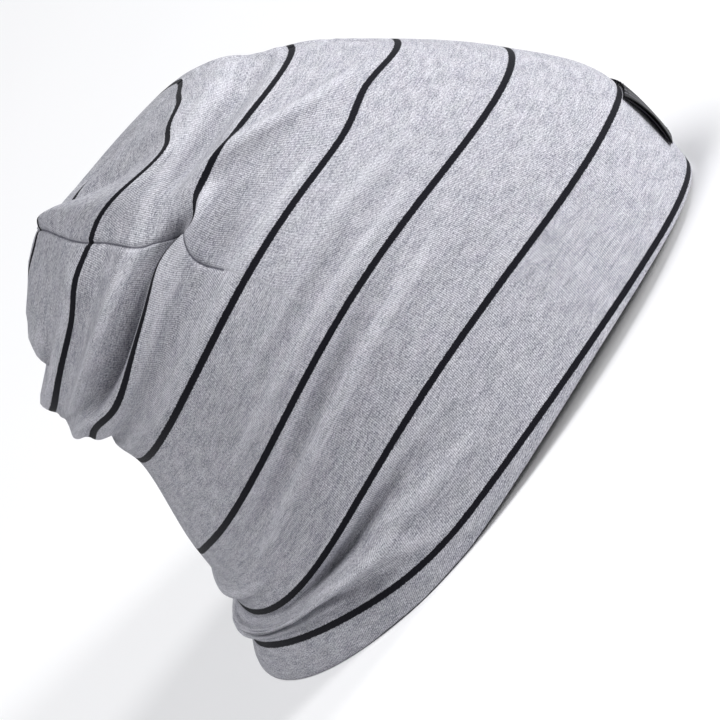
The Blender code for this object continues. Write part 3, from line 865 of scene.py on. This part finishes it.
stripe_turn = add_node(tree, MATH, [up_mm, STRIPE_PITCH_MM / 2], operation="ADD")
in_pitch = add_node(tree, MATH, [stripe_turn, STRIPE_PITCH_MM], operation="FLOORED_MODULO")
past_stripe = add_node(tree, MATH, [in_pitch, STRIPE_PITCH_MM / 2], operation="SUBTRACT")
from_stripe = add_node(tree, MATH, [past_stripe], operation="ABSOLUTE")
stepped = add_node(
    tree, MATH, [from_groove, -2 * STRIPE_STEP_MM, from_stripe], operation="MULTIPLY_ADD"
)
ragged = add_node(tree, MATH, [fleck, STRIPE_RAGGED_MM, stepped], operation="MULTIPLY_ADD")
inside_stripe = add_node(
    tree, MAP_RANGE,
    {
        "Value": ragged, "From Min": STRIPE_HALF_MM + STRIPE_EDGE_FROM_MM,
        "From Max": STRIPE_HALF_MM + STRIPE_EDGE_TO_MM, "To Min": 1.0, "To Max": 0.0,
    },
    interpolation_type="SMOOTHSTEP",
)
black_yarn = add_node(
    tree, COLOUR_MIX,
    {MIX_SHARE: fleck, MIX_FIRST: linear(STRIPE_BLACK), MIX_SECOND: linear(STRIPE_WORN)},
    out=MIXED, data_type="RGBA",
)
striped = add_node(
    tree, COLOUR_MIX, {MIX_SHARE: inside_stripe, MIX_FIRST: warm, MIX_SECOND: black_yarn},
    out=MIXED, data_type="RGBA",
)
print("stripe", 2 * STRIPE_HALF_MM, "mm wide, every", STRIPE_PITCH_MM, "mm")

# %% Painted shade in the grooves between the wales, and the shaded line of each seam
GROOVE_PAINTED_SHADE = 0.62
GROOVE_SHADE_RISE = 0.56
SEAM_DARK_MM = 0.15
SEAM_CLEAR_MM = 0.55
SEAM_STRENGTH = 0.75
FUZZ_HEIGHT = 0.55
KNIT_RELIEF = 0.00014

# Painted shade: the yarn colour is darker in the grooves between the wales and paler on the wales.
groove_painted_shade = add_node(tree, MATH, [stitch_height, GROOVE_SHADE_RISE, GROOVE_PAINTED_SHADE], operation="MULTIPLY_ADD")
seam = add_node(tree, "ShaderNodeAttribute", out="Fac", attribute_name="seam_mm")
in_seam = add_node(
    tree, MAP_RANGE,
    {
        "Value": seam, "From Min": SEAM_DARK_MM, "From Max": SEAM_CLEAR_MM,
        "To Min": SEAM_STRENGTH, "To Max": 0.0,
    },
    interpolation_type="SMOOTHSTEP",
)
with_groove_shade = add_node(tree, VECTOR_MATH, {0: striped, "Scale": groove_painted_shade}, operation="SCALE")
jersey_colour = add_node(
    tree, COLOUR_MIX, {MIX_SHARE: in_seam, MIX_FIRST: with_groove_shade, MIX_SECOND: linear(SEAM_SHADE)},
    out=MIXED, data_type="RGBA", blend_type="MULTIPLY",
)
fuzz = add_node(tree, NOISE, {"Vector": cloth, "Scale": 1.9, "Detail": 3.0, "Roughness": 0.7})
knit_height = add_node(tree, MATH, [fuzz, FUZZ_HEIGHT, stitch_height], operation="MULTIPLY_ADD")
knit_bump = add_node(tree, BUMP, {"Strength": 0.45, "Distance": KNIT_RELIEF, "Height": knit_height})
rough = add_node(tree, MATH, [fleck, 0.12, 0.84], operation="MULTIPLY_ADD")
for socket, source in (("Base Color", jersey_colour), ("Roughness", rough), ("Normal", knit_bump)):
    tree.links.new(source, shader.inputs[socket])
shader.inputs["Sheen Weight"].default_value = 0.05
shader.inputs["Sheen Roughness"].default_value = 0.55
shader.inputs["Specular IOR Level"].default_value = 0.12
jersey.data.materials.clear()
jersey.data.materials.append(jersey_material)
for stand_in in ("outside", "fold"):
    bpy.data.materials.remove(bpy.data.materials[stand_in])
print("jersey nodes", len(tree.nodes))

# %% [markdown]
# ## Black satin ribbon and thread
#
# The label is woven from fine yarn in a satin weave. Satin has long floats that all run one way, so it
# is black with a soft grey shine and hair-thin ribs along its length. Two thin paler lines run beside
# each of its side edges. The thread is matt cotton twisted from two plies.

# %% Ribbon
RIBBON_RIB_MM = 0.42
RIBBON_WEFT_MM = 0.252
RIBBON_BLACK = "0f0f11"
RIBBON_SHINE = "202024"
SIDE_LINE = "76767e"
SIDE_LINE_MM = 2.8
SIDE_LINE_DARK_MM = 0.38
SIDE_LINE_PALE_MM = 0.12
RIBBON_RELIEF = 0.00012

ribbon_material, tree, shader = new_material("black_satin_ribbon")
ribbon_place = add_node(tree, "ShaderNodeUVMap", uv_map="ribbon_mm")
ribbon_axes = add_node(tree, "ShaderNodeSeparateXYZ", [ribbon_place], out=None)
rib_turn = add_node(tree, MATH, [ribbon_axes.outputs[0], RIBBON_RIB_MM], operation="DIVIDE")
rib = add_node(tree, MATH, [rib_turn, 0.5], operation="PINGPONG")
weft_turn = add_node(tree, MATH, [ribbon_axes.outputs[1], RIBBON_WEFT_MM], operation="DIVIDE")
weft = add_node(tree, MATH, [weft_turn, 0.5], operation="PINGPONG")
float_place = add_node(tree, VECTOR_MATH, [ribbon_place, (3.2, 0.45, 1)], operation="MULTIPLY")
floats = add_node(tree, NOISE, {"Vector": float_place, "Scale": 1.0, "Detail": 3.0})
float_shade = add_node(tree, MATH, [floats, 0.6], operation="MULTIPLY")
shade = add_node(tree, MATH, [rib, 0.7, float_shade], operation="MULTIPLY_ADD")
woven = add_node(
    tree, COLOUR_MIX,
    {MIX_SHARE: shade, MIX_FIRST: linear(RIBBON_BLACK), MIX_SECOND: linear(RIBBON_SHINE)},
    out=MIXED, data_type="RGBA",
)
from_middle = add_node(tree, MATH, [ribbon_axes.outputs[0]], operation="ABSOLUTE")
from_side = add_node(tree, MATH, [LABEL_WIDTH * 500, from_middle], operation="SUBTRACT")
line_turn = add_node(tree, MATH, [from_side, SIDE_LINE_MM / 2], operation="PINGPONG")
line_here = add_node(
    tree, MAP_RANGE,
    {
        "Value": line_turn, "From Min": SIDE_LINE_PALE_MM, "From Max": SIDE_LINE_DARK_MM,
        "To Min": 0.8, "To Max": 0.0,
    },
)
not_inside = add_node(tree, MATH, [from_side, SIDE_LINE_MM * 2.6], operation="LESS_THAN")
not_edge = add_node(tree, MATH, [from_side, SIDE_LINE_MM * 0.5], operation="GREATER_THAN")
two_lines = add_node(tree, MATH, [line_here, not_inside], operation="MULTIPLY")
side_lines = add_node(tree, MATH, [two_lines, not_edge], operation="MULTIPLY")
ribbon_colour = add_node(
    tree, COLOUR_MIX, {MIX_SHARE: side_lines, MIX_FIRST: woven, MIX_SECOND: linear(SIDE_LINE)},
    out=MIXED, data_type="RGBA",
)
ribs_and_floats = add_node(tree, MATH, [rib, floats], operation="ADD")
weave = add_node(tree, MATH, [weft, 0.3, ribs_and_floats], operation="MULTIPLY_ADD")
weave_bump = add_node(tree, BUMP, {"Strength": 0.6, "Distance": RIBBON_RELIEF, "Height": weave})
satin_rough = add_node(tree, MATH, [floats, 0.2, 0.42], operation="MULTIPLY_ADD")
for socket, source in (("Base Color", ribbon_colour), ("Roughness", satin_rough), ("Normal", weave_bump)):
    tree.links.new(source, shader.inputs[socket])
shader.inputs["Specular IOR Level"].default_value = 0.16
for layer in (label_back, label_face):
    layer.data.materials.clear()
    layer.data.materials.append(ribbon_material)
print("ribbon nodes", len(tree.nodes))

# %% Thread
THREAD_BLACK = "2b2b30"
THREAD_TWIST_MM = 0.5
THREAD_RELIEF = 0.00006

thread_material, tree, shader = new_material("black_sewing_thread")
thread_place = add_node(tree, "ShaderNodeTexCoord", out="Object")
twist = add_node(
    tree, "ShaderNodeTexWave",
    {"Vector": thread_place, "Scale": 1000 / THREAD_TWIST_MM / 2, "Distortion": 1.5},
    out=1, bands_direction="DIAGONAL",
)
thread_colour = add_node(
    tree, COLOUR_MIX,
    {MIX_SHARE: twist, MIX_FIRST: linear(RIBBON_BLACK), MIX_SECOND: linear(THREAD_BLACK)},
    out=MIXED, data_type="RGBA",
)
twist_bump = add_node(tree, BUMP, {"Strength": 0.5, "Distance": THREAD_RELIEF, "Height": twist})
for socket, source in (("Base Color", thread_colour), ("Normal", twist_bump)):
    tree.links.new(source, shader.inputs[socket])
shader.inputs["Roughness"].default_value = 0.7
for row in (upper_stitches, lower_stitches):
    row.data.materials.clear()
    row.data.materials.append(thread_material)
print("materials", [m.name for m in bpy.data.materials if m.users])

# %% [markdown]
# ## Joining the pieces to the imported model
#
# The jersey and the label's layers stand for the two plain solids of the imported model, which stay out of
# sight for collision. The hat is all one body, so every piece rides on the root. The flat cut of the cloth
# is the tube before the four darts are taken out of it.

# %% Ride and replace
for piece in (jersey, label_back, label_face, upper_stitches, lower_stitches):
    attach(piece, "root")
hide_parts("jersey_shell")
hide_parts("front_label")
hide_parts("front_label")

# %% [markdown]
# ## Floor, light and camera
#
# A soft window light stands low before the hat on the camera's side, a second one straight before the
# brow, and a large one high above and a little behind. So the brow is the brightest, each fold has a
# dark and a pale side, and the shadows on the pale floor are soft. The watts and the room's strength
# were fitted to the brightness of the photographed hat, and the top light was then changed. The
# camera is far away with a long lens and is rolled, so the crown points to the lower left.

# %% Floor
FLOOR_PALE = "f8f8f9"
FLOOR_BRIGHT = "fbfbfc"

bpy.ops.object.select_all(action="DESELECT")
bpy.ops.mesh.primitive_plane_add(size=8, location=(0, 0, 0))
floor = bpy.context.active_object
floor.name = floor.data.name = "studio_floor"
floor_material, tree, shader = new_material("pale_floor")
floor_place = add_node(tree, "ShaderNodeTexCoord", out="Object")
grain = add_node(tree, NOISE, {"Vector": floor_place, "Scale": 6.0})
floor_colour = add_node(
    tree, COLOUR_MIX,
    {MIX_SHARE: grain, MIX_FIRST: linear(FLOOR_PALE), MIX_SECOND: linear(FLOOR_BRIGHT)},
    out=MIXED, data_type="RGBA",
)
tree.links.new(floor_colour, shader.inputs["Base Color"])
shader.inputs["Roughness"].default_value = 0.9
floor.data.materials.append(floor_material)
floor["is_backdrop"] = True
print("floor", floor.name)

# %% Lights
AIM = Vector((0, 0, 0.06))
ROOM_COLOUR = "eef0f5"
ROOM_STRENGTH = 0.21
LIGHT_COLUMNS = ("name", "place", "size", "watts")
LIGHTS = (
    ("window_light", (-1.2, -2.6, 1.0), 0.6, 57),
    ("front_fill", (0.2, -3.0, 0.9), 0.9, 64),
    ("top_light", (-0.5, 0.8, 3.0), 2.4, 68),
)

for row in LIGHTS:
    lamp = dict(zip(LIGHT_COLUMNS, row))
    data = bpy.data.lights.new(lamp["name"], "AREA")
    data.shape = "DISK"
    data.size = lamp["size"]
    data.energy = lamp["watts"]
    light = bpy.data.objects.new(lamp["name"], data)
    bpy.context.collection.objects.link(light)
    light.location = lamp["place"]
    light.rotation_euler = (AIM - Vector(lamp["place"])).to_track_quat("-Z", "Y").to_euler()
room = bpy.data.worlds.new("pale_room")
bpy.context.scene.world = room
bpy.context.scene.view_settings.view_transform = "Standard"
room.use_nodes = True
room.node_tree.nodes["Background"].inputs[0].default_value = linear(ROOM_COLOUR)
room.node_tree.nodes["Background"].inputs[1].default_value = ROOM_STRENGTH
print("lights", [row[0] for row in LIGHTS])

# %% Camera
CAMERA_AZIMUTH = -85.0
CAMERA_ELEVATION = 18.0
CAMERA_ROLL = 51.3
CAMERA_DISTANCE = 4.0
FRAME_WIDTH = 0.2174
AIM_RIGHT = -0.0091
AIM_UP = 0.0379
SENSOR_MM = 36

azimuth = np.radians(CAMERA_AZIMUTH)
elevation = np.radians(CAMERA_ELEVATION)
roll = np.radians(CAMERA_ROLL)
right = Vector((np.cos(azimuth), np.sin(azimuth), 0))
back_across = np.sin(azimuth) * np.cos(elevation)
back_along = -np.cos(azimuth) * np.cos(elevation)
back = Vector((back_across, back_along, np.sin(elevation)))
up = back.cross(right)
camera_x = right * np.cos(roll) - up * np.sin(roll)
camera_y = right * np.sin(roll) + up * np.cos(roll)
camera_aim = right * AIM_RIGHT + up * AIM_UP + Vector(CENTRE_SHIFT)
camera_data = bpy.data.cameras.new("photo_camera")
camera_data.sensor_width = SENSOR_MM
camera_data.lens = SENSOR_MM * CAMERA_DISTANCE / FRAME_WIDTH
camera_data.clip_end = 50
camera = bpy.data.objects.new("photo_camera", camera_data)
bpy.context.collection.objects.link(camera)
place = camera_aim + back * CAMERA_DISTANCE
turned = np.array([camera_x, camera_y, back]).T
camera.matrix_world = Matrix([[*turned[k], place[k]] for k in range(3)] + [[0, 0, 0, 1]])
bpy.context.scene.camera = camera
print("lens", round(camera_data.lens), "mm")

# %% [markdown]
# ## The size
#
# The dressed hat has to stay the size of the imported one, so both boxes are printed.

# %% Print both boxes and finish
visual_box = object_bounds()
for name, box in (("packed", cad_box), ("dressed", visual_box)):
    print(name, [[round(v * 1000, 1) for v in corner] for corner in box], "mm")
